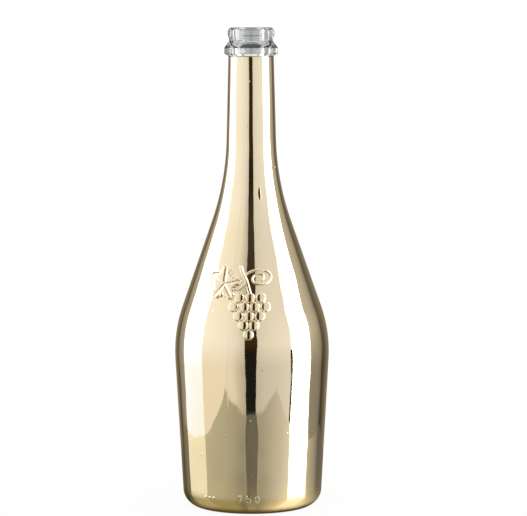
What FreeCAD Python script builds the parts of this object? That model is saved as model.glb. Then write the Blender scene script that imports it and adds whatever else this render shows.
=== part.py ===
import FreeCAD, Part

# Sparkling-wine bottle with a mirror-gold coat.
#
# One thick glass bottle carries three coats, each laid over the one before: a base lacquer,
# a bright metal film and a gold-tinted lacquer. The coats stop part way up the underside of the
# collar and part way round the heel, so the mouth and the ring that the bottle stands on are bare
# glass.
#
# Millimetres. The origin lies on the table, under the middle of the foot, and +Z runs up the
# bottle. Every piece is turned about Z, so each is drawn as a half section: radius and height.

import math
import os

import Sketcher

SIZES = {
    # The side, from the foot up: straight lines that would meet at these corners.
    "foot_dia": 85.4,
    "body_height": 109.5,
    "shoulder_dia": 97.6,
    "shoulder_rise": 94.8,
    "neck_foot_dia": 31.3,
    "neck_length": 78,
    "neck_top_dia": 27.4,
    "heel_round": 10.2,
    "shoulder_round": 87.6,
    "neck_round": 167,
    # The collar that holds a wire ring, and the crown bead above it.
    "collar_under": 1.5,
    "collar_band": 3.5,
    "collar_dia": 33.5,
    "collar_root_round": 0.9,
    "collar_round": 0.6,
    "flare_height": 4.6,
    "waist_dia": 26.9,
    "waist_round": 0.8,
    "bead_rise": 3.9,
    "bead_height": 4.2,
    "bead_dia": 29,
    "bead_round": 1.5,
    "rim_round": 3,
    "lip_round": 1.2,
    # The inside: a straight bore for the cork, then a cavity that follows the side.
    "bore_dia": 17.6,
    "bore_depth": 25,
    "bore_taper": 8,
    "bore_round": 20,
    "wall": 4.6,
    # The foot: a flat ring to stand on, the punt pushed up inside it, and the glass over it.
    "stand_ring": 4.6,
    "punt_depth": 28,
    "punt_tip_dia": 20,
    "punt_tip_round": 8,
    "punt_edge_round": 2,
    "floor": 6,
    "floor_round": 12,
    "valley_height": 0.5,
    "valley_round": 4,
    # The coats, how far they climb past the rounding under the collar, and where on the heel they stop.
    "base_lacquer_thickness": 0.15,
    "metal_film_thickness": 0.15,
    "gold_lacquer_thickness": 0.15,
    "coat_climb": 0.1,
    "coat_foot_angle": 25,
}

document = FreeCAD.newDocument("gold_bottle")
sheet = document.addObject("Spreadsheet::Sheet", "Sizes")
for row, (alias, number) in enumerate(SIZES.items(), start=1):
    sheet.set(f"A{row}", alias)
    sheet.set(f"B{row}", str(number))
    sheet.setAlias(f"B{row}", alias)
document.recompute()


def value(text):
    """The number that an expression on the sheet gives now."""
    return float(sheet.evalExpression(text))


# Heights, stacked from the table to the rim.
NECK_FOOT = "(Sizes.body_height + Sizes.shoulder_rise)"
COLLAR_FOOT = f"({NECK_FOOT} + Sizes.neck_length)"
COLLAR_LOW = f"({COLLAR_FOOT} + Sizes.collar_under)"
COLLAR_TOP = f"({COLLAR_LOW} + Sizes.collar_band)"
WAIST = f"({COLLAR_TOP} + Sizes.flare_height)"
BEAD = f"({WAIST} + Sizes.bead_rise)"
RIM = f"({BEAD} + Sizes.bead_height)"
BORE_END = f"({RIM} - Sizes.bore_depth)"

# How far each straight of the side leans out from upright.
BODY_LEAN = "atan((Sizes.shoulder_dia - Sizes.foot_dia) / 2 / Sizes.body_height)"
SHOULDER_LEAN = "atan((Sizes.neck_foot_dia - Sizes.shoulder_dia) / 2 / Sizes.shoulder_rise)"
NECK_LEAN = "atan((Sizes.neck_top_dia - Sizes.neck_foot_dia) / 2 / Sizes.neck_length)"
COLLAR_LEAN = "atan((Sizes.collar_dia - Sizes.neck_top_dia) / 2 / Sizes.collar_under)"

# The coats end on the collar's underside, a little above the rounding that leads to it.
ROOT_END = f"Sizes.collar_root_round * abs(tan(({COLLAR_LEAN} - {NECK_LEAN}) / 2)) * cos({COLLAR_LEAN})"
COAT_TOP = f"({COLLAR_FOOT} + {ROOT_END} + Sizes.coat_climb)"

# The heel's arc is centred one rounding above the table, and the stand ring starts below it.
HEEL_CENTRE = f"(Sizes.foot_dia / 2 - Sizes.heel_round / tan((90 deg + {BODY_LEAN}) / 2))"
PUNT_RADIUS = f"({HEEL_CENTRE} - Sizes.stand_ring)"
PUNT_SLOPE = f"atan(Sizes.punt_depth / ({PUNT_RADIUS} - Sizes.punt_tip_dia / 2))"

# The two roundings of the mouth share the glass between bead and bore, and neither takes more
# than its share of it.
MOUTH_LAND = "((Sizes.bead_dia - Sizes.bore_dia) / 2)"
RIM_SHARE = 0.55
LIP_SHARE = 0.4
RIM_ROUND = f"min(Sizes.rim_round; {MOUTH_LAND} * {RIM_SHARE})"
LIP_ROUND = f"min(Sizes.lip_round; {MOUTH_LAND} * {LIP_SHARE})"


def side_at(radius, corner_height, lean, shift, height):
    """Radius, at a height, of a straight of the side that is moved out by shift."""
    return f"{radius} + ({shift}) / cos({lean}) + tan({lean}) * ({height} - {corner_height})"


def side_corner(radius, height, lean_below, lean_above, shift):
    """Radius and height of a corner of the side whose two straights are moved out by shift."""
    reach = f"({shift}) / cos(({lean_below} - {lean_above}) / 2)"
    middle = f"({lean_below} + {lean_above}) / 2"
    return f"{radius} + {reach} * cos({middle})", f"{height} - {reach} * sin({middle})"


def shoulder_corner(shift):
    corner = side_corner("Sizes.shoulder_dia / 2", "Sizes.body_height", BODY_LEAN, SHOULDER_LEAN, shift)
    return Corner(*corner, f"Sizes.shoulder_round + {shift}")


def neck_corner(shift):
    corner = side_corner("Sizes.neck_foot_dia / 2", NECK_FOOT, SHOULDER_LEAN, NECK_LEAN, shift)
    return Corner(*corner, f"Sizes.neck_round - ({shift})")


def collar_corner(shift):
    corner = side_corner("Sizes.neck_top_dia / 2", COLLAR_FOOT, NECK_LEAN, COLLAR_LEAN, shift)
    return Corner(*corner, f"Sizes.collar_root_round - ({shift})")


def coat_end(shift):
    """Where a coat stops on the collar's underside, cut square."""
    radius = side_at("Sizes.neck_top_dia / 2", COLLAR_FOOT, COLLAR_LEAN, "0", COAT_TOP)
    return Corner(f"{radius} + ({shift}) * cos({COLLAR_LEAN})", f"{COAT_TOP} - ({shift}) * sin({COLLAR_LEAN})")


def neck_end(shift, height):
    radius = side_at("Sizes.neck_top_dia / 2", COLLAR_FOOT, NECK_LEAN, shift, height)
    return Corner(radius, height)


def bind(sketch, kind, *where, text):
    """Add a dimension to a sketch and tie it to the sheet."""
    number = sketch.addConstraint(Sketcher.Constraint(kind, *where, value(text)))
    sketch.setExpression(f"Constraints[{number}]", text)


def pin(sketch, piece, end, radius, height):
    """Fix a point of a sketch at a radius and a height, on the axis or the table where they are 0."""
    for kind, axis, text in (("DistanceX", -2, radius), ("DistanceY", -1, height)):
        if text == "0":
            sketch.addConstraint(Sketcher.Constraint("PointOnObject", piece, end, axis))
        else:
            bind(sketch, kind, piece, end, text=text)


def add_arc(sketch, centre, arrive, leave):
    """Draw the short arc between two points; gives its number and its ends in the order met."""
    turns_left = (arrive - centre).cross(leave - centre).z > 0
    first, last = (arrive, leave) if turns_left else (leave, arrive)
    angles = [math.atan2(point.y - centre.y, point.x - centre.x) for point in (first, last)]
    circle = Part.Circle(centre, FreeCAD.Vector(0, 0, 1), (first - centre).Length)
    arc = sketch.addGeometry(Part.ArcOfCircle(circle, *angles), False)
    return arc, (1, 2) if turns_left else (2, 1)


class Corner:
    """A corner of a half section: sharp, or rounded by an arc that is tangent to both its lines."""

    def __init__(self, radius, height, rounding=None):
        self.radius = radius
        self.height = height
        self.rounding = rounding

    def spot(self):
        return FreeCAD.Vector(value(self.radius), value(self.height), 0)

    def ends(self, before, after):
        """Where the line before this corner stops and the line after it starts."""
        here = self.spot()
        if self.rounding is None:
            return here, here
        back = (before - here).normalize()
        ahead = (after - here).normalize()
        tangent = value(self.rounding) / math.tan(back.getAngle(ahead) / 2)
        return here + back * tangent, here + ahead * tangent

    def join(self, sketch, arrive, leave, line_in, line_out):
        """Tie the two lines together, and to the sheet."""
        if self.rounding is None:
            sketch.addConstraint(Sketcher.Constraint("Coincident", line_in, 2, line_out, 1))
            pin(sketch, line_out, 1, self.radius, self.height)
            return
        here = self.spot()
        inward = (arrive + leave) / 2 - here
        tangent = (arrive - here).Length
        centre = here + inward * (tangent / inward.Length) ** 2
        arc, (first, last) = add_arc(sketch, centre, arrive, leave)
        point = sketch.addGeometry(Part.Point(here), True)
        pin(sketch, point, 1, self.radius, self.height)
        sketch.addConstraint([
            Sketcher.Constraint("PointOnObject", point, 1, line_in),
            Sketcher.Constraint("PointOnObject", point, 1, line_out),
            Sketcher.Constraint("Tangent", line_in, 2, arc, first),
            Sketcher.Constraint("Tangent", arc, last, line_out, 1),
        ])
        bind(sketch, "Radius", arc, text=self.rounding)


class HeelStop:
    """Where a coat stops part way round the heel: an arc about the heel's own centre, cut square."""

    def __init__(self, shift, at_start):
        self.rounding = f"Sizes.heel_round + {shift}"
        self.stop = f"{HEEL_CENTRE} + ({self.rounding}) * sin(Sizes.coat_foot_angle)"
        self.at_start = at_start

    def centre(self):
        return FreeCAD.Vector(value(HEEL_CENTRE), value("Sizes.heel_round"), 0)

    def spot(self):
        """Where the heel's arc meets the straight of the body."""
        lean = math.radians(value(BODY_LEAN))
        return self.centre() + FreeCAD.Vector(math.cos(lean), -math.sin(lean), 0) * value(self.rounding)

    def ends(self, before, after):
        angle = math.radians(value("Sizes.coat_foot_angle"))
        reach = FreeCAD.Vector(math.sin(angle), -math.cos(angle), 0) * value(self.rounding)
        stop = self.centre() + reach
        return (stop, self.spot()) if self.at_start else (self.spot(), stop)

    def join(self, sketch, arrive, leave, line_in, line_out):
        arc, (first, last) = add_arc(sketch, self.centre(), arrive, leave)
        kinds = ("Coincident", "Tangent") if self.at_start else ("Tangent", "Coincident")
        sketch.addConstraint(Sketcher.Constraint(kinds[0], line_in, 2, arc, first))
        sketch.addConstraint(Sketcher.Constraint(kinds[1], arc, last, line_out, 1))
        pin(sketch, arc, 3, HEEL_CENTRE, "Sizes.heel_round")
        bind(sketch, "Radius", arc, text=self.rounding)
        bind(sketch, "DistanceX", arc, first if self.at_start else last, text=self.stop)


def turned_piece(name, corners):
    """A body turned about Z from a closed half section through the corners."""
    body = document.addObject("PartDesign::Body", name)
    body.Label = name
    plane = next(feature for feature in body.Origin.OriginFeatures if feature.Role == "XZ_Plane")
    sketch = body.newObject("Sketcher::SketchObject", f"{name}_section")
    sketch.AttachmentSupport = (plane, [""])
    sketch.MapMode = "FlatFace"

    spots = [corner.spot() for corner in corners]
    following = spots[1:] + spots[:1]
    ends = [corner.ends(spots[i - 1], following[i]) for i, corner in enumerate(corners)]
    lines = []
    for (arrive, leave), (next_arrive, next_leave) in zip(ends, ends[1:] + ends[:1]):
        lines.append(sketch.addGeometry(Part.LineSegment(leave, next_arrive), False))
    for i, corner in enumerate(corners):
        corner.join(sketch, *ends[i], lines[i - 1], lines[i])

    turning = body.newObject("PartDesign::Revolution", f"{name}_turning")
    turning.Profile = sketch
    turning.ReferenceAxis = (sketch, ["V_Axis"])
    turning.Angle = 360
    return body


def glass_bottle():
    """The moulded glass, from the tip of the punt round the outside and back down the inside."""
    inside = "-Sizes.wall"
    floor_height = "Sizes.punt_depth + Sizes.floor"
    floor_radius = f"Sizes.punt_tip_dia / 2 + Sizes.floor * tan({PUNT_SLOPE} / 2)"
    valley = side_at("Sizes.foot_dia / 2", "0", BODY_LEAN, inside, "Sizes.valley_height")
    return turned_piece("glass_bottle", [
        Corner("0", "Sizes.punt_depth"),
        Corner("Sizes.punt_tip_dia / 2", "Sizes.punt_depth", "Sizes.punt_tip_round"),
        Corner(PUNT_RADIUS, "0", "Sizes.punt_edge_round"),
        Corner("Sizes.foot_dia / 2", "0", "Sizes.heel_round"),
        Corner("Sizes.shoulder_dia / 2", "Sizes.body_height", "Sizes.shoulder_round"),
        Corner("Sizes.neck_foot_dia / 2", NECK_FOOT, "Sizes.neck_round"),
        Corner("Sizes.neck_top_dia / 2", COLLAR_FOOT, "Sizes.collar_root_round"),
        Corner("Sizes.collar_dia / 2", COLLAR_LOW, "Sizes.collar_round"),
        Corner("Sizes.collar_dia / 2", COLLAR_TOP, "Sizes.collar_round"),
        Corner("Sizes.waist_dia / 2", WAIST, "Sizes.waist_round"),
        Corner("Sizes.bead_dia / 2", BEAD, "Sizes.bead_round"),
        Corner("Sizes.bead_dia / 2", RIM, RIM_ROUND),
        Corner("Sizes.bore_dia / 2", RIM, LIP_ROUND),
        Corner("Sizes.bore_dia / 2", BORE_END, "Sizes.bore_round"),
        neck_end(inside, f"({BORE_END} - Sizes.bore_taper)"),
        neck_corner(inside),
        shoulder_corner(inside),
        Corner(valley, "Sizes.valley_height", "Sizes.valley_round"),
        Corner(floor_radius, floor_height, "Sizes.floor_round"),
        Corner("0", floor_height),
    ])


def coat(name, inner, outer):
    """One coat on the outside of the glass, between two distances from it."""
    def side(shift):
        return [shoulder_corner(shift), neck_corner(shift), collar_corner(shift), coat_end(shift)]

    return turned_piece(name, [
        HeelStop(inner, True), *side(inner), *reversed(side(outer)), HeelStop(outer, False),
    ])


LACQUER_OUT = "Sizes.base_lacquer_thickness"
FILM_OUT = f"{LACQUER_OUT} + Sizes.metal_film_thickness"
GOLD_OUT = f"{FILM_OUT} + Sizes.gold_lacquer_thickness"

pieces = [
    glass_bottle(),
    coat("base_lacquer", "0", LACQUER_OUT),
    coat("metal_film", LACQUER_OUT, FILM_OUT),
    coat("gold_lacquer", FILM_OUT, GOLD_OUT),
]
document.recompute()

for item in document.Objects:
    if "Invalid" in item.State or "Error" in item.State:
        raise RuntimeError(f"{item.Name} did not build: {item.State}")
for piece in pieces:
    if piece.Shape.isNull() or not piece.Shape.isValid() or len(piece.Shape.Solids) != 1:
        raise RuntimeError(f"{piece.Label} is not one sound solid")

os.makedirs("parts", exist_ok=True)
for piece in pieces:
    piece.Shape.exportStep(f"parts/{piece.Label}.step")
    box = piece.Shape.optimalBoundingBox()
    print(f"{piece.Label}: {piece.Shape.Volume / 1000:.2f} ml of material, "
          f"{box.XLength:.2f} x {box.YLength:.2f} mm, {box.ZMin:.2f} to {box.ZMax:.2f} mm high")
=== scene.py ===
# %% [markdown]
# # A mirror-gold bottle
#
# The object is a thick glass bottle for sparkling wine, coated on the outside with a bright gold
# mirror from just under its collar down to its heel. The mouth and the ring it stands on are bare
# glass. This lesson loads the exact solids as a frame, turns two fine meshes over them, one for the
# glass and one for the gold, raises an ornament on the gold, and lights it all in a small studio.
#
# A mirror has little colour of its own: what you see in it is the room. So half of the work below
# is the room.

import math

import bpy
import numpy as np
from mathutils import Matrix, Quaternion, Vector


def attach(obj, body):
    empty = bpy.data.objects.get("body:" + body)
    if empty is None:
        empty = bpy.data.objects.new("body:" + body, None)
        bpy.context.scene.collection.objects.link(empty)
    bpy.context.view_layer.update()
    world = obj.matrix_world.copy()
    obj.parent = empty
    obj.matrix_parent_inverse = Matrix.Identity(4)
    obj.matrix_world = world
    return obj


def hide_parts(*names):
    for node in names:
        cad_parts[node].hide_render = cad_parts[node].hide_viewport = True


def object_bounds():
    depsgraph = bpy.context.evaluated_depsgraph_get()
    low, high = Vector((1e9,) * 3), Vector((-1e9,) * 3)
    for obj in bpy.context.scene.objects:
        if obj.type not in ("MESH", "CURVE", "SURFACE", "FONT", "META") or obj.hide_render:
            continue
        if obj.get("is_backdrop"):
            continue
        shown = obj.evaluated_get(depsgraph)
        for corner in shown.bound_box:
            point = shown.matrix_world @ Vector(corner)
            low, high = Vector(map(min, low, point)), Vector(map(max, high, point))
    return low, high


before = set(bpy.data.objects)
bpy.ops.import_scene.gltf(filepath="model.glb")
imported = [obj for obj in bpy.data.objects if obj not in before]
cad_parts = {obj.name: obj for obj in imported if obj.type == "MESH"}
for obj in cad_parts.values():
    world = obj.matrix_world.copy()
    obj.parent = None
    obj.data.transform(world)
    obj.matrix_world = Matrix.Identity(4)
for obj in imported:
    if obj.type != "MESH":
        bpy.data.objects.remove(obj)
cad_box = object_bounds()
print("solids in the frame:", sorted(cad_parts))

# %% [markdown]
# ## Shader maths that reads like maths
#
# A material is a graph of nodes. Wiring each multiply and add by hand hides what is being worked
# out, so a small class wraps an output socket, and `1 - mask`, `a * b` or `a > 0.5` adds the Math
# nodes by itself. Everything that isn't arithmetic comes from one method, `node`, which sets a
# node's settings first and then its sockets.

# %% A socket that can be added and multiplied
class Field:
    """A value that changes over a surface. Arithmetic on it adds Math nodes to its tree."""

    def __init__(self, tree, socket):
        self.tree = tree
        self.socket = socket

    def output(self, name):
        """Another output of the same node."""
        return Field(self.tree, self.socket.node.outputs[name])

    def math(self, operation, *values):
        """A Math node on these values."""
        return self.tree.node("ShaderNodeMath", {"operation": operation}, dict(enumerate(values)))

    def __add__(self, other):
        return self.math("ADD", self, other)

    def __sub__(self, other):
        return self.math("SUBTRACT", self, other)

    def __rsub__(self, other):
        return self.math("SUBTRACT", other, self)

    def __mul__(self, other):
        return self.math("MULTIPLY", self, other)

    def __gt__(self, limit):
        return self.math("GREATER_THAN", self, limit)

    __radd__ = __add__
    __rmul__ = __mul__


class Tree:
    """The node graph of a material or of the world."""

    def __init__(self, owner):
        owner.use_nodes = True
        self.nodes = owner.node_tree.nodes
        self.links = owner.node_tree.links
        self.nodes.clear()

    def node(self, kind, settings=None, sockets=None, output=0):
        """Add a node: its settings first, then the values or links of its sockets."""
        node = self.nodes.new(kind)
        for name, value in (settings or {}).items():
            if name == "stops":
                self.set_stops(node.color_ramp, value)
            else:
                setattr(node, name, value)
        for name, value in (sockets or {}).items():
            if isinstance(value, Field):
                self.links.new(value.socket, node.inputs[name])
            else:
                node.inputs[name].default_value = value
        return Field(self, node.outputs[output]) if node.outputs else node

    def set_stops(self, ramp, stops):
        """Give a colour ramp its stops, each a place and a colour."""
        while len(ramp.elements) < len(stops):
            ramp.elements.new(1.0)
        for element, (place, colour) in zip(ramp.elements, stops):
            element.position = place
            element.color = (*colour, 1.0)


def new_material(name):
    """A material and its empty node graph."""
    material = bpy.data.materials.new(name)
    return material, Tree(material)


print("shader helpers ready")

# %% [markdown]
# ## The outline
#
# A bottle is a turned shape, so its whole form is one line: how far the surface is from the axis at
# each point on the way round the section. The real outline is straight runs joined by tangent arcs.
# It could be read from the frame's mesh, but that mesh has facets, and a mirror shows each of them.
# So the same few sizes are written here again, in metres, and the arcs are worked out exactly,
# together with the direction that the surface faces.

# %% Sizes of the bottle
MM = 0.001
PUNT_TIP = (10 * MM, 28 * MM)
PUNT_EDGE = (28.452 * MM, 0)
FOOT = (42.7 * MM, 0)
SHOULDER = (48.8 * MM, 109.5 * MM)
NECK_FOOT = (15.65 * MM, 204.3 * MM)
NECK_TOP = (13.7 * MM, 282.3 * MM)
COLLAR_LOW = (16.75 * MM, 283.8 * MM)
COLLAR_HIGH = (16.75 * MM, 287.3 * MM)
WAIST = (13.45 * MM, 291.9 * MM)
BEAD_LOW = (14.5 * MM, 295.8 * MM)
BEAD_HIGH = (14.5 * MM, 300 * MM)
LIP = (8.8 * MM, 300 * MM)
BORE_END = (8.8 * MM, 275 * MM)
FLOOR_TIP = (13.232 * MM, 34 * MM)
NECK_INSIDE_TOP = 267 * MM
VALLEY_HEIGHT = 0.5 * MM
WALL = 4.6 * MM
SHOULDER_ROUND, NECK_ROUND = 87.6 * MM, 167 * MM


def rounded_line(corners, step=0.02 * MM):
    """Close points along the straight runs and arcs through corners (place, rounding).

    One row per point: radius, height, and the direction to the right of the way it goes.
    """
    places = np.array([place for place, rounding in corners], float)
    rounding = np.array([rounding for place, rounding in corners], float)
    ways = np.diff(places, axis=0)
    ways /= np.linalg.norm(ways, axis=1)[:, None]
    rights = np.column_stack([ways[:, 1], -ways[:, 0]])
    bends = np.zeros(len(places))
    bends[1:-1] = np.arctan2(-(rights[:-1] * ways[1:]).sum(1), (ways[:-1] * ways[1:]).sum(1))
    trims = rounding * np.tan(np.abs(bends) / 2)
    rows = []
    for i, (way, right) in enumerate(zip(ways, rights)):
        start = places[i] + way * trims[i]
        stop = places[i + 1] - way * trims[i + 1]
        count = max(int(np.linalg.norm(stop - start) / step), 2)
        shares = np.linspace(0, 1, count)[:, None]
        rows.append(np.hstack([start + (stop - start) * shares, np.tile(right, (count, 1))]))
        radius = math.copysign(rounding[i + 1], bends[i + 1])
        count = int(abs(bends[i + 1] * radius) / step) + 2
        angles = np.linspace(0, bends[i + 1], count)[1:-1]
        facing = np.column_stack([right[0] * np.cos(angles) - right[1] * np.sin(angles),
                                  right[0] * np.sin(angles) + right[1] * np.cos(angles)])
        rows.append(np.hstack([stop - right * radius + facing * radius, facing]))
    return np.vstack(rows)


def inset_corner(before, corner, after, depth):
    """Where two runs meet once both have moved to the left of the way they go."""
    before, corner, after = (np.array(place) for place in (before, corner, after))
    ways = [(corner - before), (after - corner)]
    rights = [np.array([way[1], -way[0]]) / np.linalg.norm(way) for way in ways]
    return corner - depth * (rights[0] + rights[1]) / (1 + rights[0] @ rights[1])


def inset_at(start, stop, depth, height):
    """The place at a height on a run that has moved to the left of the way it goes."""
    start, stop = np.array(start), np.array(stop)
    way = (stop - start) / np.linalg.norm(stop - start)
    moved = start - depth * np.array([way[1], -way[0]])
    return moved + way * (height - moved[1]) / way[1]


outside = [
    ((0, PUNT_TIP[1]), 0),
    (PUNT_TIP, 8 * MM),
    (PUNT_EDGE, 2 * MM),
    (FOOT, 10.2 * MM),
    (SHOULDER, SHOULDER_ROUND),
    (NECK_FOOT, NECK_ROUND),
    (NECK_TOP, 0.9 * MM),
    (COLLAR_LOW, 0.6 * MM),
    (COLLAR_HIGH, 0.6 * MM),
    (WAIST, 0.8 * MM),
    (BEAD_LOW, 1.5 * MM),
    (BEAD_HIGH, 3 * MM),
]
inside = [
    (LIP, 1.2 * MM),
    (BORE_END, 20 * MM),
    (inset_at(NECK_FOOT, NECK_TOP, WALL, NECK_INSIDE_TOP), 0),
    (inset_corner(SHOULDER, NECK_FOOT, NECK_TOP, WALL), NECK_ROUND + WALL),
    (inset_corner(FOOT, SHOULDER, NECK_FOOT, WALL), SHOULDER_ROUND - WALL),
    (inset_at(FOOT, SHOULDER, WALL, VALLEY_HEIGHT), 4 * MM),
    (FLOOR_TIP, 12 * MM),
    ((0, FLOOR_TIP[1]), 0),
]
section = rounded_line(outside + inside)
print("section:", len(section), "points, widest", round(2000 * section[:, 0].max(), 2), "mm, highest",
      round(1000 * section[:, 1].max(), 2), "mm")

# %% [markdown]
# ## Turning a line into a mesh
#
# On the real bottle the glass was blown into a turned mould, and a mesh of it can be turned the same
# way. Blender's Screw modifier would do it, but it spreads its faces evenly. Here the rows and the
# columns of the mesh are chosen: close together on a tight arc or under an ornament, wide apart
# elsewhere. Each vertex also gets the exact direction that its surface faces, so light glides over
# the faces as over the true curve.

# %% Helpers for turned meshes
def pick(line, cost):
    """Points along a line, placed so that the same cost lies between each two of them."""
    run = np.concatenate([[0], np.cumsum(cost)])
    marks = np.linspace(0, run[-1], int(math.ceil(run[-1])) + 1)
    return np.column_stack([np.interp(marks, run, values) for values in line.T])


def steps_along(line):
    """How far each point of a line is from the one before it."""
    return np.linalg.norm(np.diff(line[:, :2], axis=0), axis=1)


def turned_around(rows, angles):
    """Points and directions on a turned surface: one line per row, one column per angle.

    Angle 0 faces the camera, on the side of negative Y, and it grows to the right.
    """
    radius, height, out, up = (rows[:, [i]] for i in range(4))
    sin, cos = np.sin(angles)[None, :], np.cos(angles)[None, :]
    flat = np.ones_like(sin)
    points = np.stack([radius * sin, -radius * cos, height * flat], axis=-1)
    facing = np.stack([out * sin, -out * cos, up * flat], axis=-1)
    return points, facing / np.linalg.norm(facing, axis=-1, keepdims=True)


def grid_faces(first, rows, columns):
    """Faces of a grid of vertices whose last column joins its first."""
    row, column = np.meshgrid(np.arange(rows - 1), np.arange(columns), indexing="ij")
    here = first + row * columns + column
    right = first + row * columns + (column + 1) % columns
    return np.stack([here, right, right + columns, here + columns], axis=-1).reshape(-1, 4)


def mesh_piece(name, points, faces, normals, material):
    """A smooth mesh object with its own direction at each vertex."""
    mesh = bpy.data.meshes.new(name)
    mesh.from_pydata(points.tolist(), [], [list(face) for face in faces])
    mesh.polygons.foreach_set("use_smooth", [True] * len(mesh.polygons))
    mesh.normals_split_custom_set_from_vertices(normals.tolist())
    mesh.materials.append(material)
    piece = bpy.data.objects.new(name, mesh)
    bpy.context.scene.collection.objects.link(piece)
    mesh.calc_loop_triangles()
    print(name, "has", len(mesh.loop_triangles), "triangles")
    return piece


print("turning helpers ready")

# %% [markdown]
# ## The glass finish
#
# The glass is clear and nearly colourless, with the faint green-grey of thick glass. Its moulded
# skin is not quite flat, and that is what makes the streaks in the mouth waver. A bump from a soft
# noise gives this, and fine rings round the bead add the level lines that a shaped lip shows. The
# colour is almost white because light passes through it many times.

# %% Clear glass
GLASS_TINTS = [(0.35, (0.93, 0.955, 0.94)), (0.65, (0.965, 0.975, 0.97))]
SWIRL_SCALE, SKIN_UNEVEN = 90.0, 0.2 * MM
RINGS_FROM, RINGS_FULL = 294.6 * MM, 295.6 * MM
RING_PITCH, RING_WEIGHT = 1.7 * MM, 0.6
WAVE_NODE_RADIANS = 20


def clear_glass():
    material, tree = new_material("clear_glass")
    place = tree.node("ShaderNodeTexCoord", output="Object")
    swirl = tree.node("ShaderNodeTexNoise", None,
                      {"Vector": place, "Scale": SWIRL_SCALE, "Detail": 2.0, "Roughness": 0.5})
    tint = tree.node("ShaderNodeValToRGB", {"stops": GLASS_TINTS}, {"Fac": swirl})
    height = tree.node("ShaderNodeSeparateXYZ", None, {"Vector": place}, "Z")
    at_bead = tree.node("ShaderNodeMapRange", None,
                        {"Value": height, "From Min": RINGS_FROM, "From Max": RINGS_FULL})
    ring_scale = 2 * math.pi / (WAVE_NODE_RADIANS * RING_PITCH)
    rings = tree.node("ShaderNodeTexWave", {"bands_direction": "Z"},
                      {"Vector": place, "Scale": ring_scale, "Distortion": 1.2, "Detail": 1.0,
                       "Detail Scale": 0.5}, "Fac")
    bump = tree.node("ShaderNodeBump", None,
                     {"Height": swirl + rings * at_bead * RING_WEIGHT, "Strength": 0.5,
                      "Distance": SKIN_UNEVEN})
    shader = tree.node("ShaderNodeBsdfPrincipled", None,
                       {"Base Color": tint, "Roughness": swirl * 0.03, "Transmission Weight": 1.0,
                        "IOR": 1.52, "Normal": bump})
    tree.node("ShaderNodeOutputMaterial", None, {"Surface": shader})
    return material


glass_finish = clear_glass()
print("finish made:", glass_finish.name)

# %% [markdown]
# ## The glass
#
# One piece from the tip of the punt round the outside, over the mouth and down the inside to the
# floor. It needs its inside: through the clear mouth you look into the wall and down the bore.
# Under the coats the glass is let a little into the lacquer, as a wetted coat has no air behind it.

# %% Turn the glass
COAT = 0.15 * MM
COAT_TOP = 282.65 * MM
COAT_FOOT_ANGLE = math.radians(25)
WETTING = 0.07 * MM
WETTING_RAMP = 2 * MM
GLASS_STEP = 2.5 * MM
GLASS_TURN = math.radians(6)
GLASS_COLUMNS = 160
BARE_FOOT = 1 * MM

turning = np.arccos(np.clip((section[1:, 2:] * section[:-1, 2:]).sum(1), -1, 1))
glass_rows = pick(section, steps_along(section) / GLASS_STEP + turning / GLASS_TURN)
on_outside = np.arange(len(glass_rows)) < np.argmax(glass_rows[:, 1])
reach = np.minimum(COAT_TOP - glass_rows[:, 1], glass_rows[:, 1] - BARE_FOOT) / WETTING_RAMP
coated = np.clip(reach, 0, 1) * on_outside * (glass_rows[:, 2] > math.sin(COAT_FOOT_ANGLE))
glass_rows[:, :2] += glass_rows[:, 2:] * (WETTING * coated)[:, None]

angles = np.linspace(0, 2 * math.pi, GLASS_COLUMNS, endpoint=False)
points, facing = turned_around(glass_rows[1:-1], angles)
count = len(glass_rows) - 2
low_tip, high_tip = count * GLASS_COLUMNS, count * GLASS_COLUMNS + 1
ring = np.arange(GLASS_COLUMNS)
following = (ring + 1) % GLASS_COLUMNS
last = (count - 1) * GLASS_COLUMNS
faces = grid_faces(0, count, GLASS_COLUMNS).tolist()
faces += [(low_tip, b, a) for a, b in zip(ring.tolist(), following.tolist())]
faces += [(high_tip, last + a, last + b) for a, b in zip(ring.tolist(), following.tolist())]
tips = np.array([[0, 0, glass_rows[0, 1]], [0, 0, glass_rows[-1, 1]]])
glass = mesh_piece(
    "moulded_glass",
    np.vstack([points.reshape(-1, 3), tips]),
    faces,
    np.vstack([facing.reshape(-1, 3), [[0, 0, -1], [0, 0, 1]]]),
    glass_finish,
)
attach(glass, "root")
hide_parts("glass_bottle")

# %% [markdown]
# ## Shapes raised on the glass
#
# A mould can be cut so that a sign stands proud of the glass, and the mirror coat then runs over it.
# Here that is a bunch of grapes with a leaf and a tendril on the shoulder, the plain number 750 for
# the millilitres and three dots on the heel, and the two fine ridges where the halves of the mould
# meet. A long thin blister beside the neck is a small fault of the glass. All are heights above the
# turned surface, worked out from distances on the unrolled wall. Sculpted meshes would need joining
# to the bottle; heights share its surface from the start.

# %% Heights of simple shapes
def dome(across, up, foot, rise):
    """A cap cut from a ball, with a foot of that radius. Outside its foot it is below zero."""
    ball = (foot ** 2 + rise ** 2) / (2 * rise)
    return np.sqrt(np.maximum(ball ** 2 - across ** 2 - up ** 2, 0)) - (ball - rise)


def rib(distance, half_width, rise):
    """A rounded rib along a line, from the distance to that line."""
    return rise * (1 - np.minimum(distance / half_width, 2) ** 2)


def over(lower, upper, soft):
    """The higher of two heights, with the crease between them filled to a soft hollow."""
    filling = np.maximum(soft - np.abs(lower - upper), 0)
    return np.maximum(lower, upper) + filling ** 2 / (4 * soft)


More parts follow.
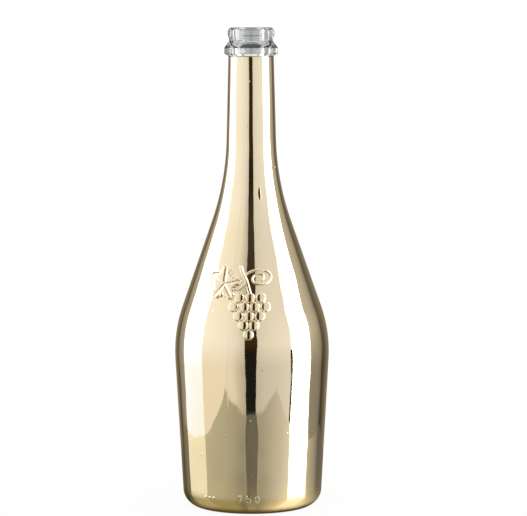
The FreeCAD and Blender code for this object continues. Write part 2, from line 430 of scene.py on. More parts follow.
def distance_to(path, across, up):
    """Distance to the line through the points of a path."""
    nearest = np.full(np.broadcast(across, up).shape, np.inf)
    for start, stop in zip(path[:-1], path[1:]):
        way = stop - start
        share = ((across - start[0]) * way[0] + (up - start[1]) * way[1]) / (way @ way)
        share = np.clip(share, 0, 1)
        gap = np.hypot(across - start[0] - share * way[0], up - start[1] - share * way[1])
        nearest = np.minimum(nearest, gap)
    return nearest


def smooth_path(points, count=40):
    """A smooth line through points, by parameter, with no overshoot at its ends."""
    points = np.array(points, float)
    padded = np.vstack([2 * points[0] - points[1], points, 2 * points[-1] - points[-2]])
    line = []
    for before, here, there, after in zip(padded, padded[1:], padded[2:], padded[3:]):
        for t in np.linspace(0, 1, max(count // len(points), 4), endpoint=False):
            line.append(0.5 * (2 * here + (there - before) * t
                               + (2 * before - 5 * here + 4 * there - after) * t ** 2
                               + (3 * here - before - 3 * there + after) * t ** 3))
    return np.array(line + [points[-1]])


print("relief helpers ready")

# %% A bunch of grapes, a leaf and a tendril
EDGE_WIDTH, EDGE_RISE = 0.5 * MM, 1.0 * MM
GRAPE, GRAPE_CROWN = 3.2 * MM, 0.4 * MM
GRAPE_PITCH, GRAPE_DROP = 6.6 * MM, 5.7 * MM
BUNCH_TOP = (5.5 * MM, 3 * MM)
BUNCH_ROWS = (3, 4, 3, 2, 1)
LEAF_MIDDLE, LEAF_TILT = (-11 * MM, 11.5 * MM), math.radians(67)
LEAF_SIZE, LEAF_RISE, LEAF_SWELL = 12.5 * MM, 1.15 * MM, 2.4 * MM
CREASE = 0.08 * MM

stem = smooth_path(np.array([(-1, 22.5), (0.5, 18), (3, 13), (5.5, 5)]) * MM)
leaf_stalk = smooth_path(np.array([(3, 13), (-1, 8.5), (-5, 8.5)]) * MM)
turn = np.linspace(0, 1, 60)
curl = math.pi * (1.0 - 3.2 * turn)
tendril = np.column_stack([11 * MM + (9.5 - 7.5 * turn) * MM * np.cos(curl) * (1 - 0.12 * turn),
                           15.5 * MM + (5.8 - 4 * turn) * MM * np.sin(curl)])


def plate(inward):
    """A raised plate with a steep edge and a rounded brim, by the distance inside its outline."""
    share = np.minimum(inward / EDGE_WIDTH, 1.3)
    return EDGE_RISE * (share - np.maximum(share - 0.7, 0) ** 2 / 1.2)


def crown(share, rise):
    """The swelling of a plate's top, from its middle at share 0 to its outline at share 1."""
    return rise * (1 - np.minimum(share, 1) ** 2)


def pillow(inward, rise, swell):
    """A cushion that rises over a distance from its outline and is level inside that."""
    share = np.minimum(inward / swell, 1)
    return rise * (1 - (1 - share) * np.abs(1 - share))


def leaf_height(across, up):
    """A broad leaf of five lobes: cushions with a crease along each vein."""
    across, up = across - LEAF_MIDDLE[0], up - LEAF_MIDDLE[1]
    spread = np.hypot(across, up)
    angle = np.arctan2(across, up) + LEAF_TILT
    edge = LEAF_SIZE * (0.8 + 0.13 * np.cos(5 * angle) + 0.06 * np.cos(angle)
                        + 0.012 * np.cos(25 * angle))
    lean = LEAF_SIZE * (0.65 * np.sin(5 * angle) + 0.06 * np.sin(angle)
                        + 0.3 * np.sin(25 * angle))
    inward = (edge - spread) / np.hypot(1, lean / np.maximum(spread, 2 * MM))
    for vein in np.radians([0, 72, -72, 144, -144]):
        beside = np.abs(spread * np.sin(angle - vein))
        behind = np.maximum(-spread * np.cos(angle - vein), 0)
        inward = np.minimum(inward, 0.45 * MM + beside + behind)
    return pillow(inward, LEAF_RISE, LEAF_SWELL)


def bunch_height(across, up):
    """The whole ornament, over a smooth wall at height zero."""
    height = over(np.zeros(np.broadcast(across, up).shape), leaf_height(across, up), CREASE)
    for path, half_width in ((tendril, 0.7 * MM), (leaf_stalk, 0.9 * MM), (stem, 1.1 * MM)):
        height = over(height, plate(half_width - distance_to(path, across, up)), CREASE)
    for row, grapes in enumerate(BUNCH_ROWS):
        for place in range(grapes):
            left = BUNCH_TOP[0] + (place - (grapes - 1) / 2) * GRAPE_PITCH
            spread = np.hypot(across - left, up - BUNCH_TOP[1] + row * GRAPE_DROP)
            grape = plate(GRAPE - spread) + crown(spread / GRAPE, GRAPE_CROWN)
            height = over(height, grape, CREASE)
    return height


print("grapes in the bunch:", sum(BUNCH_ROWS))

# %% The number and the dots on the heel, and a blister
DIGIT_TALL, DIGIT_PITCH = 4.3 * MM, 5.2 * MM
STROKE, STROKE_RISE = 0.36 * MM, 0.15 * MM
DOT, DOT_RISE, DOT_PITCH = 0.95 * MM, 0.22 * MM, 3 * MM
SOFT_FOOT = 0.06 * MM
BLISTER_GENTLE, BLISTER_STEEP = 1.3 * MM, 0.38 * MM
BLISTER_LENGTH, BLISTER_RISE = 5.4 * MM, 0.35 * MM
around = np.linspace(0, 2 * math.pi, 25)
digits = [
    np.array([(-0.27, 0.5), (0.27, 0.5), (-0.08, -0.5)]),
    smooth_path([(0.24, 0.5), (-0.2, 0.5), (-0.24, 0.06), (0.02, 0.14), (0.25, -0.02), (0.27, -0.26),
                 (0.1, -0.48), (-0.14, -0.48), (-0.28, -0.36)]),
    np.column_stack([0.28 * np.sin(around), 0.5 * np.cos(around)]),
]


def number_height(across, up):
    """The three digits, as ribs along their lines."""
    height = np.zeros(np.broadcast(across, up).shape)
    for place, digit in enumerate(digits):
        path = digit * DIGIT_TALL + np.array([(place - 1) * DIGIT_PITCH, 0])
        height = over(height, rib(distance_to(path, across, up), STROKE, STROKE_RISE), SOFT_FOOT)
    return height


def dots_height(across, up):
    """Three small domes in a row."""
    height = np.zeros(np.broadcast(across, up).shape)
    for place in (-1, 0, 1):
        dot = dome(across - place * DOT_PITCH, up, DOT, DOT_RISE)
        height = over(height, dot, SOFT_FOOT)
    return height


def blister_height(across, up):
    """A long thin blister, left where a bubble rose in the hot glass, steep on one side."""
    taper = np.maximum(1 - (up / BLISTER_LENGTH) ** 2, 0)
    gentle = (BLISTER_GENTLE * taper + across) / BLISTER_GENTLE
    steep = (BLISTER_STEEP * taper - across) / BLISTER_STEEP
    return BLISTER_RISE * np.maximum(np.minimum(gentle, steep), 0)


print("digits on the heel:", len(digits))

# %% Everything raised, on the whole wall
BUNCH_ANGLE, BUNCH_HEIGHT = math.radians(-9.5), 132.3 * MM
NUMBER_ANGLE, NUMBER_HEIGHT = math.radians(-3), 10.5 * MM
DOTS_ANGLE = math.radians(-37)
BLISTER_ANGLE, BLISTER_HEIGHT = math.radians(16), 197.5 * MM
SEAM_ANGLES = (math.radians(-18.5), math.radians(161.5))
SEAM_WIDTH, SEAM_RISE = 0.2 * MM, 0.04 * MM
BUNCH_REACH, NUMBER_REACH, DOTS_REACH, BLISTER_REACH = 26 * MM, 9 * MM, 6 * MM, 6 * MM


def angle_between(angle, other):
    """The turn from one angle to another, the short way round."""
    return (angle - other + math.pi) % (2 * math.pi) - math.pi


def raised(angle, run, radius, run_at):
    """Height above the turned wall, by angle and by how far along the outline a place is."""
    height = np.zeros(np.broadcast(angle, run).shape)
    for shape, middle, level, reach in (
        (bunch_height, BUNCH_ANGLE, BUNCH_HEIGHT, BUNCH_REACH),
        (number_height, NUMBER_ANGLE, NUMBER_HEIGHT, NUMBER_REACH),
        (dots_height, DOTS_ANGLE, NUMBER_HEIGHT, DOTS_REACH),
        (blister_height, BLISTER_ANGLE, BLISTER_HEIGHT, BLISTER_REACH),
    ):
        across = angle_between(angle, middle) * radius
        up = run - run_at(level) + np.zeros_like(across)
        near = (np.abs(across) < reach) & (np.abs(up) < reach)
        height[near] += shape(across[near], up[near])
    for seam in SEAM_ANGLES:
        across = angle_between(angle, seam) * radius
        height = height + SEAM_RISE * np.exp(-(across / SEAM_WIDTH) ** 2)
    return height


print("raised shapes ready")

# %% [markdown]
# ## The gold finish
#
# The mirror is a film of metal under a gold-tinted clear lacquer. A metal shader with a polished
# surface and a clear coat over it does just that. The wall under it was hot glass once, so it is
# very slightly uneven: a faint bump bends the reflections' edges. Close to, the lacquer has some
# orange peel and a few grains of dust, and its tint is not the same all over.

# %% Gold mirror
GOLD_TINTS = [(0.3, (0.90, 0.765, 0.52)), (0.7, (0.935, 0.81, 0.575))]
FLOW_SCALE, PEEL_SCALE, CLOUD_SCALE, GRAIN_SCALE = 70.0, 900.0, 18.0, 130.0
WALL_UNEVEN, UPRIGHT = 0.32 * MM, 0.45
PEEL_SHARE, SPECK_SHARE = 0.012, 0.5
SPECK_FULL, SPECK_EDGE, SPECK_RARITY = 0.02, 0.08, 0.7


def gold_mirror():
    material, tree = new_material("gold_mirror")
    place = tree.node("ShaderNodeTexCoord", output="Object")
    long_way = tree.node("ShaderNodeMapping", None, {"Vector": place, "Scale": (1.0, 1.0, UPRIGHT)})
    flow = tree.node("ShaderNodeTexNoise", None,
                     {"Vector": long_way, "Scale": FLOW_SCALE, "Detail": 1.0, "Roughness": 0.4})
    peel = tree.node("ShaderNodeTexNoise", None,
                     {"Vector": place, "Scale": PEEL_SCALE, "Detail": 1.0, "Roughness": 0.5})
    cloud = tree.node("ShaderNodeTexNoise", None,
                      {"Vector": place, "Scale": CLOUD_SCALE, "Detail": 3.0})
    grain = tree.node("ShaderNodeTexVoronoi", {"feature": "F1"},
                      {"Vector": place, "Scale": GRAIN_SCALE})
    chance = tree.node("ShaderNodeSeparateColor", None, {"Color": grain.output("Color")}, "Red")
    away = tree.node("ShaderNodeMapRange", None,
                     {"Value": grain, "From Min": SPECK_FULL, "From Max": SPECK_EDGE})
    specks = (1 - away) * (chance > SPECK_RARITY)
    tint = tree.node("ShaderNodeValToRGB", {"stops": GOLD_TINTS}, {"Fac": cloud})
    height = flow + peel * PEEL_SHARE + specks * SPECK_SHARE
    bump = tree.node("ShaderNodeBump", None,
                     {"Height": height, "Strength": 1.0, "Distance": WALL_UNEVEN})
    shader = tree.node("ShaderNodeBsdfPrincipled", None,
                       {"Base Color": tint, "Metallic": 1.0,
                        "Roughness": 0.025 + cloud * 0.03 + specks * 0.2,
                        "Coat Weight": 1.0, "Coat Roughness": 0.02, "Coat IOR": 1.5, "Normal": bump})
    tree.node("ShaderNodeOutputMaterial", None, {"Surface": shader})
    return material


gold_finish = gold_mirror()
print("finish made:", gold_finish.name)

# %% [markdown]
# ## The gold coat
#
# The outermost coat is a closed skin, about a tenth of a millimetre thick, with a clean edge under
# the collar and another on the heel, inside the bare ring of glass that the bottle stands on. Its
# outer face lies lower than the solid's by the height of the seams, so that these stay inside the
# solid's outline, and it carries the raised shapes. Their slope is measured by a small step to each
# side, and it tilts the direction that each vertex faces.

# %% Rows and columns of the coat
GOLD_IN, GOLD_OUT = 2 * COAT, 3 * COAT - SEAM_RISE
DENSE, WIDE_ROW, WIDE_COLUMN, INNER_ROW = 0.285 * MM, 4 * MM, 4 * MM, 20 * MM
ROW_TURN = math.radians(7)
WALL_RADIUS = 46 * MM
CLOSE_ROWS = ((111, 155, 4, 1.0), (6, 13, 3, 1.0), (192, 203, 4, 0.6))
CLOSE_COLUMNS, CLOSE_EDGE = np.radians((-46, 23)), math.radians(4)
SEAM_SPREAD = 0.6


def between(values, low, high, soft):
    """1 from low to high, falling to 0 over a soft edge outside them."""
    return np.clip(np.minimum(values - low, high - values) / soft + 1, 0, 1)


heel_start = np.argmax((section[:, 1] < BARE_FOOT) & (section[:, 2] >= math.sin(COAT_FOOT_ANGLE)))
coat_stop = heel_start + np.argmax(section[heel_start:, 1] > COAT_TOP)
coat_line = section[heel_start:coat_stop]
coat_run = np.concatenate([[0], np.cumsum(steps_along(coat_line))])


def run_at(height):
    """How far along the coat's outline a height is."""
    return np.interp(height, coat_line[:, 1], coat_run)


closeness = np.maximum.reduce([
    share * between(coat_run, run_at(low * MM), run_at(high * MM), soft * MM)
    for low, high, soft, share in CLOSE_ROWS
])
row_density = 1 / WIDE_ROW + (1 / DENSE - 1 / WIDE_ROW) * closeness ** 2
bends = np.arccos(np.clip((coat_line[1:, 2:] * coat_line[:-1, 2:]).sum(1), -1, 1))
row_cost = steps_along(coat_line) * row_density[1:] + bends / ROW_TURN
gold_rows = pick(np.column_stack([coat_line, coat_run]), row_cost)

turn = np.linspace(-math.pi, math.pi, 20001)
closeness = between(turn, *CLOSE_COLUMNS, CLOSE_EDGE)
column_density = WALL_RADIUS * (1 / WIDE_COLUMN + (1 / DENSE - 1 / WIDE_COLUMN) * closeness ** 2)
for seam in SEAM_ANGLES:
    beside = np.abs(angle_between(turn, seam)) * WALL_RADIUS
    seam_step = SEAM_WIDTH / 2 + SEAM_SPREAD * np.maximum(beside - 2 * SEAM_WIDTH, 0)
    column_density = np.maximum(column_density, WALL_RADIUS / seam_step)
columns = pick(turn[:, None], np.diff(turn) * column_density[1:])[:-1, 0]
print("the coat's outer face has", len(gold_rows), "rows and", len(columns), "columns")

# %% Lay the coat
NUDGE = 0.02 * MM
points, facing = turned_around(gold_rows, columns)
run = gold_rows[:, [4]]
radius = gold_rows[:, [0]] + GOLD_OUT
angle = columns[None, :]
height = raised(angle, run, radius, run_at)
tilt_round = (raised(angle + NUDGE / radius, run, radius, run_at)
              - raised(angle - NUDGE / radius, run, radius, run_at)) / (2 * NUDGE)
tilt_up = (raised(angle, run + NUDGE, radius, run_at)
           - raised(angle, run - NUDGE, radius, run_at)) / (2 * NUDGE)
way_round = np.stack([np.cos(angle), np.sin(angle), np.zeros_like(angle)], axis=-1)
way_round = np.broadcast_to(way_round, facing.shape)
way_up = np.cross(facing, way_round)
outer = points + facing * (GOLD_OUT + height)[:, :, None]
outer_facing = facing - way_round * tilt_round[:, :, None] - way_up * tilt_up[:, :, None]
outer_facing /= np.linalg.norm(outer_facing, axis=-1, keepdims=True)

inner_rows = pick(coat_line, steps_along(coat_line) / INNER_ROW + bends / ROW_TURN)[::-1]
points, facing = turned_around(inner_rows, columns)
inner = points + facing * GOLD_IN

grid = np.vstack([outer.reshape(-1, 3), inner.reshape(-1, 3)])
normals = np.vstack([outer_facing.reshape(-1, 3), -facing.reshape(-1, 3)])
total = len(gold_rows) + len(inner_rows)
faces = grid_faces(0, total, len(columns))
closing = grid_faces(0, 2, len(columns))
last = (total - 1) * len(columns)
closing = np.where(closing < len(columns), closing + last, closing - len(columns))
gold = mesh_piece("gold_mirror_coat", grid, np.vstack([faces, closing]), normals, gold_finish)
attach(gold, "root")
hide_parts("gold_lacquer")
print("highest relief", round(1000 * height.max(), 2), "mm")

# %% [markdown]
# ## The coats under the gold
#
# Beneath the gold lie a levelling lacquer and the metal film. They show only as a fine edge and,
# through the clear mouth, from inside: there the lacquer makes the neck look dark. At their top the
# coats thin out, so the last millimetre is paler. Their solids are right as they are, so they only
# get finishes, whose tones drift as a sprayed coat's do.

# %% Finishes of the hidden coats
THIN_FROM, THIN_TO = 280.3 * MM, 281 * MM
DRIFT_SCALE, COAT_UNEVEN = 60.0, 0.1 * MM


def under_coat(name, dark, light, metallic, roughness, edge):
    """A thin coat whose tone and gloss drift, and which thins out to an edge tone at its top."""
    material, tree = new_material(name)
    place = tree.node("ShaderNodeTexCoord", output="Object")
    drift = tree.node("ShaderNodeTexNoise", None,
                      {"Vector": place, "Scale": DRIFT_SCALE, "Detail": 4.0})
    body = tree.node("ShaderNodeValToRGB", {"stops": [(0.35, dark), (0.65, light)]}, {"Fac": drift})
    height = tree.node("ShaderNodeSeparateXYZ", None, {"Vector": place}, "Z")
    thin = tree.node("ShaderNodeMapRange", None,
                     {"Value": height, "From Min": THIN_FROM, "From Max": THIN_TO})
    tone = tree.node("ShaderNodeMix", {"data_type": "RGBA"}, {0: thin, 6: body, 7: (*edge, 1)}, 2)
    bump = tree.node("ShaderNodeBump", None,
                     {"Height": drift, "Strength": 0.2, "Distance": COAT_UNEVEN})
    shader = tree.node("ShaderNodeBsdfPrincipled", None,
                       {"Base Color": tone, "Metallic": metallic,
                        "Roughness": roughness + drift * 0.1, "Normal": bump})
    tree.node("ShaderNodeOutputMaterial", None, {"Surface": shader})
    return material


levelling_lacquer = under_coat(
    "levelling_lacquer", dark=(0.034, 0.031, 0.027), light=(0.055, 0.05, 0.044),
    metallic=0.0, roughness=0.2, edge=(0.9, 0.9, 0.88),
)
bright_film = under_coat(
    "bright_film", dark=(0.78, 0.76, 0.72), light=(0.86, 0.84, 0.8),
    metallic=1.0, roughness=0.08, edge=(0.82, 0.8, 0.76),
)
for node, finish in (("base_lacquer", levelling_lacquer), ("metal_film", bright_film)):
    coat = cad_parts[node]
    coat.data.materials.clear()
    coat.data.materials.append(finish)
    print(node, "wears", finish.name)

# %% [markdown]
# ## The floor and the air
#
# The bottle stands on a plain white floor that runs out of the picture, under an even white sky.
# Most of the floor's white is its own, so that it stays white in the picture, and the rest comes
# from the light that reaches it, so that the foot still darkens it.

# %% Floor and sky
FLOOR_HALF = 30.0
FLOOR_GLOW = 0.93


def flat_card(name, corners, height, material):
    """A level four-sided card."""
    mesh = bpy.data.meshes.new(name)
    corners = [(aside, ahead, height) for aside, ahead in corners]
    mesh.from_pydata(corners, [], [(0, 1, 2, 3)])
    mesh.materials.append(material)
    piece = bpy.data.objects.new(name, mesh)
    bpy.context.scene.collection.objects.link(piece)
    piece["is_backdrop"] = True
    return piece


white_floor, tree = new_material("white_floor")
own = tree.node("ShaderNodeEmission", None, {"Color": (1, 1, 1, 1), "Strength": 1.0})
lit = tree.node("ShaderNodeBsdfDiffuse", None, {"Color": (0.95, 0.95, 0.95, 1)})
both = tree.node("ShaderNodeMixShader", None, {"Fac": FLOOR_GLOW, 1: lit, 2: own})
tree.node("ShaderNodeOutputMaterial", None, {"Surface": both})
floor_corners = [(FLOOR_HALF * x, FLOOR_HALF * y) for x, y in ((-1, -1), (1, -1), (1, 1), (-1, 1))]
floor = flat_card("floor", floor_corners, 0.0, white_floor)
floor.visible_glossy = False

world = bpy.data.worlds.new("studio_air")
bpy.context.scene.world = world
tree = Tree(world)
sky = tree.node("ShaderNodeBackground", None, {"Color": (1, 1, 1, 1), "Strength": 1.0})
tree.node("ShaderNodeOutputWorld", None, {"Surface": sky})
print("floor is", 2 * FLOOR_HALF, "m wide")

# %% [markdown]
# ## The room in the mirror
#
# In a studio, what a mirror shows is built: two bright boxes at the sides, pale walls before it, a
# dark gap between the walls, and darkness behind that draws the edges. Lamps alone would light the
# bottle but leave its mirror empty, so curved cards stand round it, and only reflections see them.
# Each card has tones at a few angles and heights, written on its corners and blended between them.
# Four more cards are seen only through the clear glass, and shade its mouth.

# %% A curved card
CARD_TURN, CARD_REACH = 2, 1.5
WARM_BLUE = 1.6


def grey(level, warmth=0.0):
    """A tone, a little warmer or cooler than neutral."""
    return (level * (1 + warmth), level, level * (1 - WARM_BLUE * warmth), 1.0)


def card(name, edges, tones, warmth=0.0, reach=CARD_REACH):
    """A curved card: edges are angles round the bottle, and tones maps heights to tones at them.

    A tone is a level or a colour. Edges may be one row of angles, or one for each height, and so
    may warmth.
    """
    rows = edges if isinstance(edges, dict) else {height: edges for height in tones}
    widest = max(row[-1] - row[0] for row in rows.values())
    count = max(2, int(widest / CARD_TURN) + 1)
    points, colours = [], []
    for share in np.linspace(0, 1, count):
        for height, levels in tones.items():
            marks = np.array(rows[height], float)
            angle = marks[0] + share * (marks[-1] - marks[0])
            warm = warmth[height] if isinstance(warmth, dict) else warmth
            tints = [grey(level, warm) if np.isscalar(level) else (*level, 1.0)
                     for level in levels]
            aside, ahead = math.sin(math.radians(angle)), -math.cos(math.radians(angle))
            points.append((reach * aside, reach * ahead, height))
            colours.extend(np.interp(angle, marks, channel) for channel in zip(*tints))
    high = len(tones)
    faces = [(a + b, a + b + 1, a + b + high + 1, a + b + high)
             for a in range(0, (count - 1) * high, high) for b in range(high - 1)]
    mesh = bpy.data.meshes.new(name)
    mesh.from_pydata(points, [], faces)
    mesh.color_attributes.new("tone", "FLOAT_COLOR", "POINT").data.foreach_set("color", colours)
    mesh.materials.append(card_light)
    piece = bpy.data.objects.new(name, mesh)
    bpy.context.scene.collection.objects.link(piece)
    piece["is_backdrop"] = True
    for ray in ("camera", "diffuse", "shadow"):
        setattr(piece, "visible_" + ray, False)
    cards.append(piece)
    return piece


cards = []
card_light, tree = new_material("card_light")
tone = tree.node("ShaderNodeAttribute", {"attribute_name": "tone"})
shine = tree.node("ShaderNodeEmission", None, {"Color": tone, "Strength": 1.0})
tree.node("ShaderNodeOutputMaterial", None, {"Surface": shine})
print("card finish made:", card_light.name)

# %% Cards that the gold mirrors
LOW, BODY, NECK, SHOULDER_LEVEL, HIGH = -0.9, -0.25, 0.28, 1.12, 2.2


def by_height(body, neck, shoulder):
    """Something for each height, from what the body, the neck and the shoulder show."""
    heights = (LOW, BODY, NECK, SHOULDER_LEVEL, HIGH)
    return dict(zip(heights, (body, body, neck, shoulder, shoulder)))


card("behind_left", (-180, -158, -148, -142),
     by_height((0.28, 0.19, 0.12, 0.04), (0.25, 0.2, 0.15, 0.08), (0.33, 0.25, 0.17, 0.045)), 0.26)
card("tan_left", (-142, -137, -128, -122.5),
     by_height((0.05, 0.21, 0.29, 0.32), (0.12, 0.3, 0.4, 0.42), (0.05, 0.32, 0.5, 0.55)), 0.1)
light_tones = {
    LOW: (1.08, 1.15, 1.25),
    -0.36: (1.08, 1.15, 1.25),
    -0.25: (1.08, 1.19, 1.45),
    0.02: (1.4, 1.6, 2.0),
    NECK: (2.2, 2.2, 2.2),
    HIGH: (2.2, 2.2, 2.2),
}
card("light_left", (-122.5, -79.5), {height: (tone, tone) for height, tone in light_tones.items()})
card("wall_left", (-79.5, -45, -28, -19, -10.5, -3),
     by_height((0.85, 0.85, 0.78, 0.6, 0.46, 0.46), (1.08, 0.98, 0.9, 0.82, 0.68, 0.68),
               (1.04, 0.95, 0.86, 0.68, 0.5, 0.5)), by_height(0.06, 0.0, 0.025))
card("wall_right", (-3, 6.8, 18, 40, 60),
     by_height((0.56, 0.56, 0.64, 0.7, 0.8), (0.76, 0.76, 0.82, 0.9, 0.95),
               (0.68, 0.68, 0.76, 0.82, 0.8)))
black, bright = (0.01, 0.01), (4.8, 4.8)
card("stand_right", (58.2, 61.6), {-0.36: black, 0.1: black}, 0.2, reach=1.45)
card("light_right", by_height((60, 97), (60, 97.5), (60, 98.4)), by_height(bright, bright, bright),
     reach=1.49)
card("tan_right", (97, 116, 124, 130),
     by_height((0.29, 0.25, 0.2, 0.045), (0.6, 0.42, 0.3, 0.11), (0.46, 0.43, 0.38, 0.11)), 0.08)
card("behind_right", (130, 136, 145, 155, 180),
     by_height((0.04, 0.065, 0.12, 0.2, 0.26), (0.1, 0.12, 0.16, 0.2, 0.25),
               (0.1, 0.12, 0.17, 0.24, 0.3)), 0.2)
gap = {
    LOW: ((-11.4, 6.8), (0.012, 0.013, 0.0125)),
    -0.33: ((-11.2, 6.6), (0.012, 0.013, 0.0125)),
    -0.29: ((-10.6, 5.9), (0.012, 0.0135, 0.0135)),
    0.1: ((-10.6, 6.2), (0.0145, 0.0105, 0.007)),
    0.26: ((-10.3, 7.5), (0.036, 0.023, 0.009)),
    0.34: ((-10.3, 7.9), (0.04, 0.025, 0.009)),
    0.46: ((-10.4, 7.2), (0.023, 0.016, 0.012)),
    0.63: ((-10.6, 7.6), (0.024, 0.016, 0.009)),
    SHOULDER_LEVEL: ((-9.8, 7.5), (0.054, 0.04, 0.029)),
    HIGH: ((-9.8, 7.5), (0.054, 0.04, 0.029)),
}
card("lens_gap", {height: edges for height, (edges, tone) in gap.items()},
     {height: (tone, tone) for height, (edges, tone) in gap.items()}, reach=1.47)
for piece in cards:
    if piece.name.startswith(("behind", "tan")):
        piece.visible_transmission = False
print("cards that the gold mirrors:", len(cards))

# %% Cards that only the glass sees
for name, edges, levels in (
    ("beyond_left", (-140, -96), (0.32, 0.32)),
    ("beyond_mouth", (150, 165, 195, 210), (0.8, 0.42, 0.42, 0.8)),
    ("beyond_right", (96, 140), (0.16, 0.16)),
):
    card(name, edges, {-0.5: levels, 1.5: levels}).visible_glossy = False
low_levels = (0.4, 0.4, 0.08, 0.08, 0.4, 0.4)
low_card = card("beyond_low", (95, 150, 160, 200, 210, 265), {0.0: low_levels, 0.2: low_levels},
                reach=0.5)
low_card.visible_glossy = False
print("cards in all:", len(cards))

# %% [markdown]
# ## The table in the mirror
#
# In the lower half of the body the mirror looks down, over the edge of the small glossy table that
# the bottle stands on. Its near corners draw the two peaks. It is a four-sided card that only
# reflections see, and it glows with painted light: the tone of the lit table and of the lamps and
# walls that it mirrors. A round mirror seems to look out from a point before its axis, so this
# painted tone changes with the angle round that point. Close to the foot a warm glow from the gold is
# painted on it, and right under the foot a painted shadow. Its gloss mirrors the cards in turn, and
# near the foot it is weaker, which is painted shade.

# %% The table's glow, painted light by angle
TABLE_CORNERS = [(-0.219, -0.272), (0.206, -0.283), (0.228, 0.16), (-0.232, 0.16)]
TABLE_DROP, MIRROR_MIDDLE = 0.2 * MM, 30 * MM
TABLE_RED = 1.01
TABLE_GLOW = {
    -180: 0.1, -141: 0.06, -119: 0.03, -100: 0.2, -86: 0.24, -64: 0.215, -38: 0.21, -26.5: 0.145,
    -15.8: 0.135, -12.1: 0.2, 0: 0.22, 8.5: 0.22, 12.1: 0.185, 19.3: 0.21, 29: 0.28, 47.5: 0.44,
    63: 0.68, 88: 0.7, 96: 0.58, 102: 0.41, 108: 0.33, 115: 0.25, 123: 0.17, 141: 0.11, 180: 0.1,
}
TABLE_BLUE = {-180: 0.6, -24: 0.6, -12: 0.84, 9.7: 0.9, 14.5: 0.72, 36: 0.93, 180: 0.93}
GOLD_GLOW, GLOW_REACH, GLOW_GAIN = (1.52, 1.3, 0.92, 1), 0.12, 1.6
PAINTED_SHADOW_TONE = (0.09, 0.06, 0.03, 1)


def nearness_at(distance):
    """How near the bottle's axis a place of the table is: 1 at the axis, 0 where the glow ends."""
    return 1 - distance / GLOW_REACH


table_top, tree = new_material("table_top")
place = tree.node("ShaderNodeTexCoord", output="Object")
turned = tree.node("ShaderNodeMapping", None, {"Vector": place, "Rotation": (0, 0, math.pi / 2),
                                               "Location": (-MIRROR_MIDDLE, 0, 0)})
round_bottle = tree.node("ShaderNodeTexGradient", {"gradient_type": "RADIAL"},
                         {"Vector": turned}, "Fac")
# The table's glow at each angle is painted light: the tone of the lit table and of the lamps and
# walls that it mirrors.
glow_stops = []
for angle, level in TABLE_GLOW.items():
    blue = np.interp(angle, list(TABLE_BLUE), list(TABLE_BLUE.values()))
    glow_stops.append((0.5 + angle / 360, (TABLE_RED * level, level, blue * level)))
glow = tree.node("ShaderNodeValToRGB", {"stops": glow_stops}, {"Fac": round_bottle})
closer = tree.node("ShaderNodeMapping", None, {"Vector": place, "Scale": (1 / GLOW_REACH,) * 3})
nearness = tree.node("ShaderNodeTexGradient", {"gradient_type": "SPHERICAL"},
                     {"Vector": closer}, "Fac")
# Close to the foot a warm glow from the gold is painted on the table: painted reflected light.
painted_gold_glow = tree.node("ShaderNodeMix", {"data_type": "RGBA", "blend_type": "MULTIPLY"},
                   {0: nearness * GLOW_GAIN, 6: glow, 7: GOLD_GLOW}, 2)
# Right under the foot the table is darkened to a painted contact shadow.
painted_contact_shadow = tree.node("ShaderNodeMapRange", None, {"Value": nearness, "From Min": nearness_at(43.5 * MM),
                                               "From Max": nearness_at(39 * MM)})
shaded = tree.node("ShaderNodeMix", {"data_type": "RGBA"}, {0: painted_contact_shadow, 6: painted_gold_glow, 7: PAINTED_SHADOW_TONE}, 2)
own = tree.node("ShaderNodeEmission", None, {"Color": shaded, "Strength": 1.0})
print("table tones at", len(glow_stops), "angles")

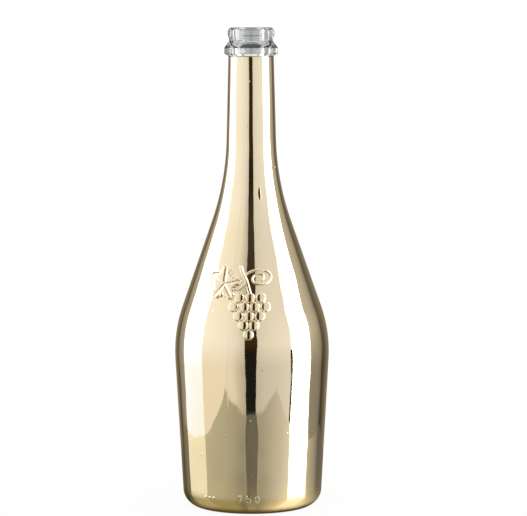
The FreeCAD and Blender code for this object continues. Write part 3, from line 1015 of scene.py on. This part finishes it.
# %% The table's gloss
GLOSS_BY_SLANT = {0.0: 0.03, 0.66: 0.17, 0.695: 0.25, 0.715: 0.33, 0.75: 0.38, 1.0: 1.0}
FOOT_SHADE_DEPTH = 0.5
facing = tree.node("ShaderNodeLayerWeight", None, {"Blend": 0.5}, "Facing")
gloss_stops = [(slant, (level,) * 3) for slant, level in GLOSS_BY_SLANT.items()]
share = tree.node("ShaderNodeValToRGB", {"stops": gloss_stops}, {"Fac": facing})
gloss = tree.node("ShaderNodeBsdfGlossy", None, {"Color": (1, 0.96, 0.86, 1), "Roughness": 0.02})
# Near the foot the gloss is weakened, which darkens the table there as painted shade.
painted_foot_shade = tree.node("ShaderNodeMapRange", None, {"Value": nearness, "From Min": nearness_at(85 * MM),
                                              "From Max": nearness_at(70 * MM)})
shaded_gloss_share = tree.node("ShaderNodeMix", {"data_type": "RGBA", "blend_type": "MULTIPLY"},
                   {0: painted_foot_shade * FOOT_SHADE_DEPTH, 6: share, 7: (0, 0, 0, 1)}, 2)
both = tree.node("ShaderNodeMixShader", None, {"Fac": shaded_gloss_share, 1: own, 2: gloss})
tree.node("ShaderNodeOutputMaterial", None, {"Surface": both})
table = flat_card("table", TABLE_CORNERS, -TABLE_DROP, table_top)
for ray in ("camera", "diffuse", "shadow", "transmission"):
    setattr(table, "visible_" + ray, False)
print("table has", len(TABLE_CORNERS), "corners")

# %% [markdown]
# ## The camera
#
# The picture was taken from about one and a half metres away with a long lens, level with the mouth
# and looking down a little, so that the rim shows as a straight line and the foot as a flat curve.
# The camera leans by a hair, and the bottle stands a little left of the middle.

# %% Camera
CAMERA_PLACE = Vector((0, -1.5402, 0.3101))
CAMERA_AIM = Vector((0.0074, 0, 0.1559))
CAMERA_LENS = 168.55
CAMERA_ROLL = math.radians(-0.15)

camera = bpy.data.cameras.new("camera")
camera.sensor_fit = "HORIZONTAL"
camera.sensor_width = 36.0
camera.lens = CAMERA_LENS
camera.clip_end = 200.0
viewer = bpy.data.objects.new("camera", camera)
viewer.location = CAMERA_PLACE
viewer.rotation_mode = "QUATERNION"
looking = (CAMERA_AIM - CAMERA_PLACE).to_track_quat("-Z", "Y")
viewer.rotation_quaternion = looking @ Quaternion((0, 0, 1), CAMERA_ROLL)
bpy.context.scene.collection.objects.link(viewer)
bpy.context.scene.camera = viewer
bpy.context.scene.view_settings.view_transform = "Standard"
print("camera looks from", [round(v, 3) for v in CAMERA_PLACE])

# %% [markdown]
# ## The size
#
# Looks must not change the size. The box of the exact solids was kept at the start, and the box of
# what is seen now has to lie inside it. Both are printed.

# %% Print the boxes
visual_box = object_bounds()
boxes = {"cad": cad_box, "visual": visual_box}
for name, box in boxes.items():
    print(name, "box in mm:", [[round(1000 * float(v), 2) for v in corner] for corner in box])
